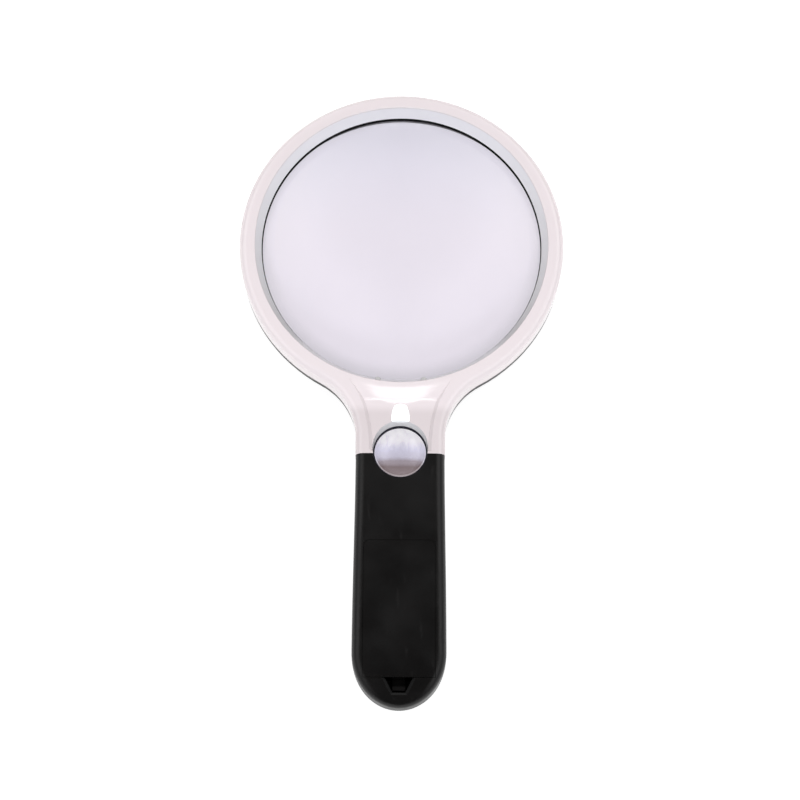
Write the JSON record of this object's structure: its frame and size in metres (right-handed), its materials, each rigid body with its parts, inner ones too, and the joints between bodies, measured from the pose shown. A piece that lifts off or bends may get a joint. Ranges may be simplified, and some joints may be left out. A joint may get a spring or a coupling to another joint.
{
  "type": "handheld illuminated magnifier",
  "caption": "Hand-held low vision magnifier: large round lens in a white ring, small strong lens in the neck, LED lighting, slide switch and a black battery handle.",
  "frame": {"origin": "centre of the whole object's footprint, on the surface that it lies on, reading side down", "axes": "+Z along the lens axis towards the lit side, +Y from the handle towards the lens, +X to the right of someone who looks at the lit side"},
  "size_m": [0.1544, 0.2994, 0.0235],
  "materials": {
    "white_shell": "glossy moulded plastic",
    "black_shell": "fine matt texture",
    "black_handle": "soft matt",
    "clear_lens": "polished clear acrylic",
    "black_rubber": "matt",
    "bezel_black": "glossy",
    "window_white": "frosted",
    "led_clear": "clear epoxy",
    "tinned_steel": "bright",
    "board_green": "solder mask",
    "resistor_black": "matt",
    "contact_brass": "plain",
    "knob_black": "satin",
    "cradle_black": "matt",
    "screw_steel": "zinc plated",
    "cell_jacket": "printed shrink sleeve, plain",
    "wire_red": "insulation",
    "wire_black": "insulation"
  },
  "bodies": {
    "body": {"front_frame": "white_shell", "rear_shell": "black_shell", "handle_cover": "black_handle", "main_lens": "clear_lens", "small_lens": "clear_lens", "lens_gasket": "black_rubber", "small_lens_bezel": "bezel_black", "led_window": "window_white", "led_left": "led_clear", "led_right": "led_clear", "led_middle": "led_clear", "led_leads": "tinned_steel", "led_board": "board_green", "board_resistors": "resistor_black", "switch_housing": "tinned_steel", "switch_pins": "contact_brass", "battery_cradle": "cradle_black", "battery_springs": "tinned_steel", "neck_screws": "screw_steel", "handle_screws": "screw_steel", "aaa_cell_1": "cell_jacket", "aaa_cell_2": "cell_jacket", "aaa_cell_3": "cell_jacket", "plus_contact": "tinned_steel", "minus_contact": "tinned_steel", "top_bridge": "tinned_steel", "bottom_bridge": "tinned_steel", "wire_plus": "wire_red", "wire_switched": "wire_red", "wire_minus": "wire_black"},
    "door": {"battery_door": "black_handle"},
    "switch": {"switch_knob": "knob_black", "switch_slider": "knob_black"}
  },
  "joints": [
    {"name": "door_hinge", "type": "hinge", "parent": "body", "child": "door", "pos_m": [0, -0.07375, 0.0235], "axis": [-1, 0, 0], "range_deg": [0, 65]},
    {"name": "switch_slide", "type": "slide", "parent": "body", "child": "switch", "axis": [0, 1, 0], "range_m": [0, 0.004]}
  ]
}
